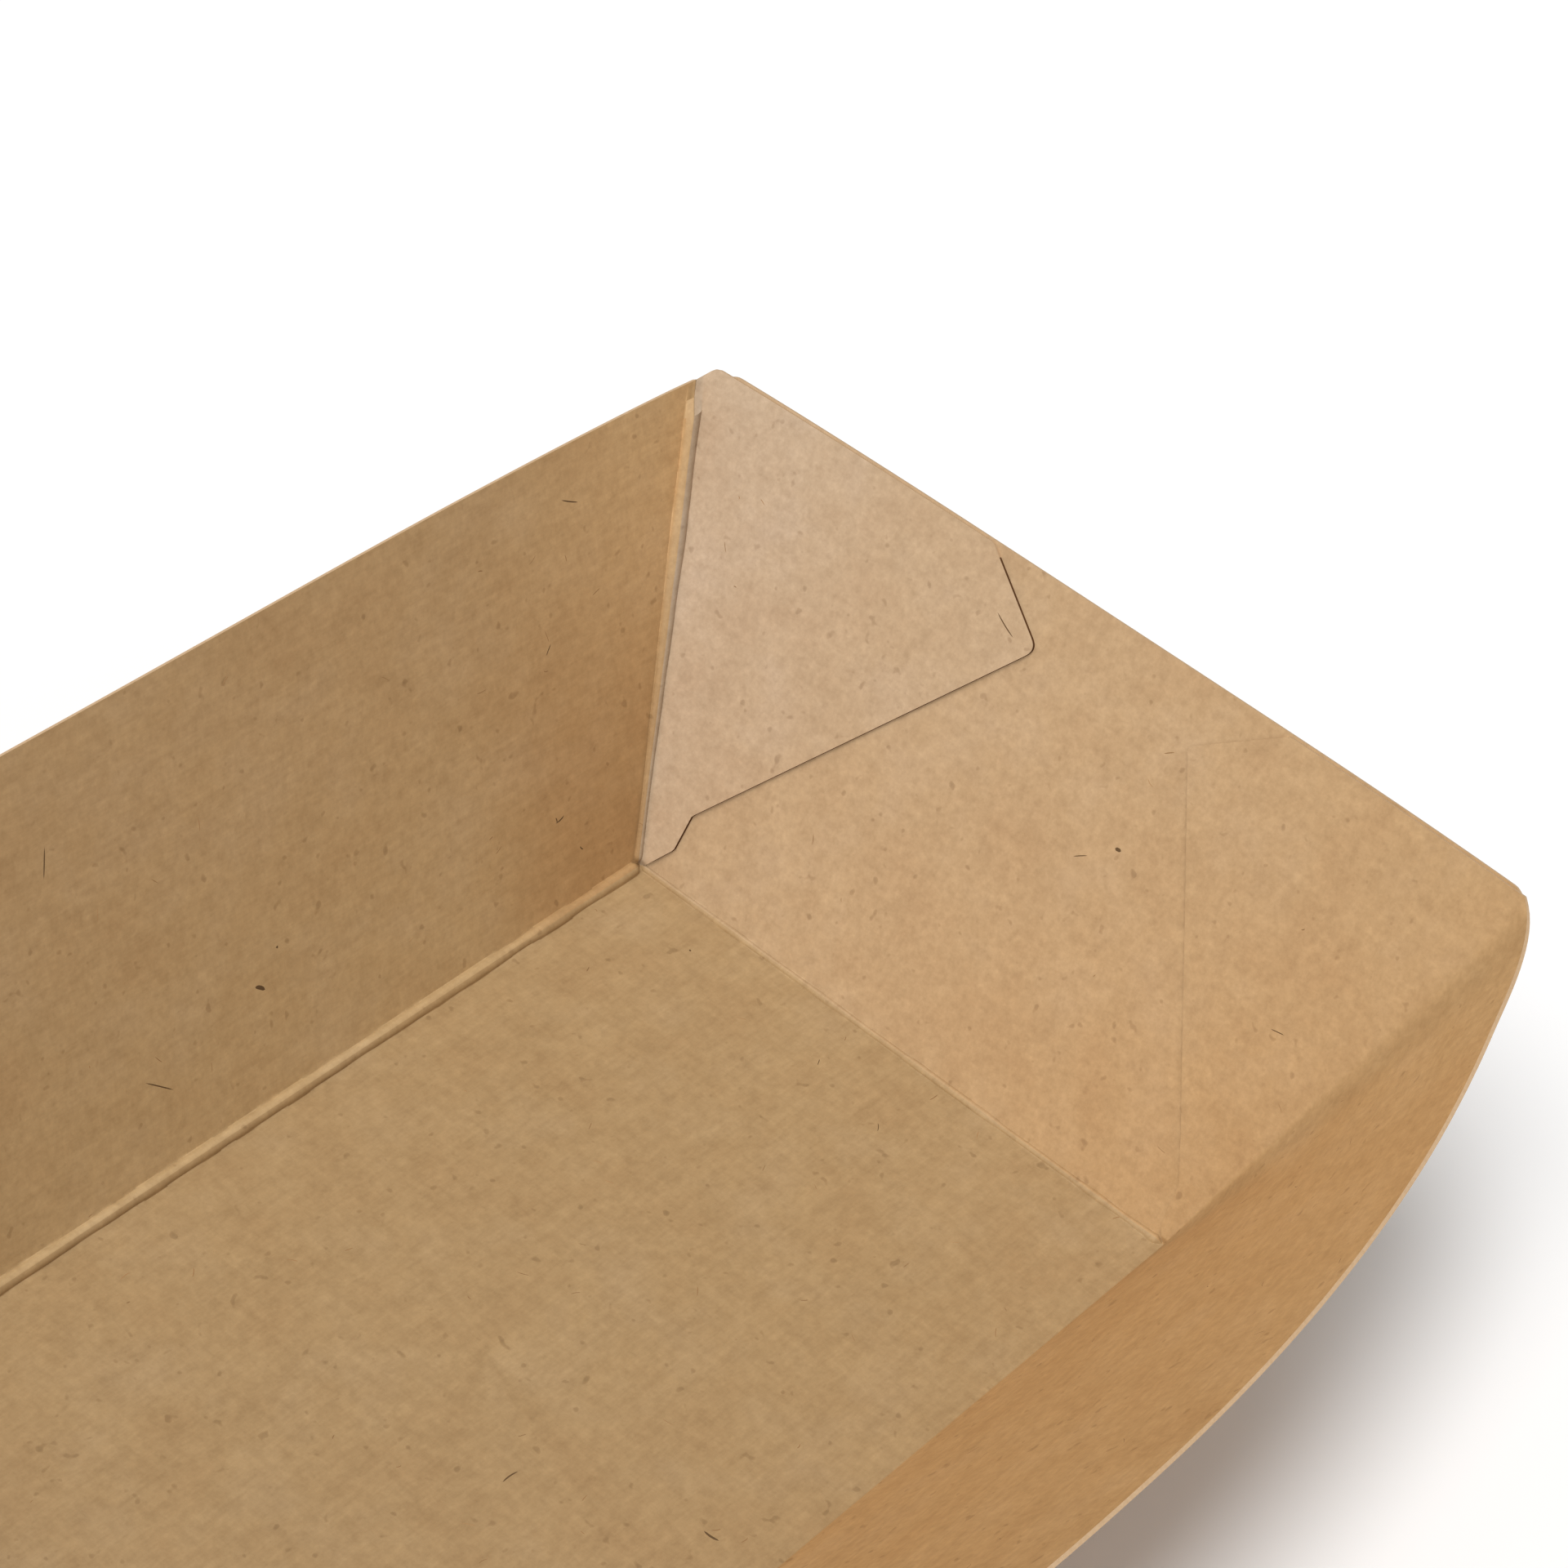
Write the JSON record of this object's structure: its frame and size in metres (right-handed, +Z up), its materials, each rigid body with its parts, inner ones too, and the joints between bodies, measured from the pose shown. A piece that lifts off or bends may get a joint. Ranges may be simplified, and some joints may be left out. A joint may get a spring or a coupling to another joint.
{
  "type": "food tray",
  "caption": "Open rectangular kraft board tray, folded from one sheet, with flared walls, glued corner flaps and crease beads.",
  "frame": {"origin": "middle of the underside of the base, on the surface that the tray stands on", "axes": "+Z up; X along the tray's length; +Y towards the upright long wall, -Y towards the long wall that is splayed outwards"},
  "size_m": [0.1646, 0.1189, 0.0469],
  "materials": {
    "kraft_board": "matte"
  },
  "bodies": {
    "root": {"tray": "kraft_board"}
  },
  "joints": []
}
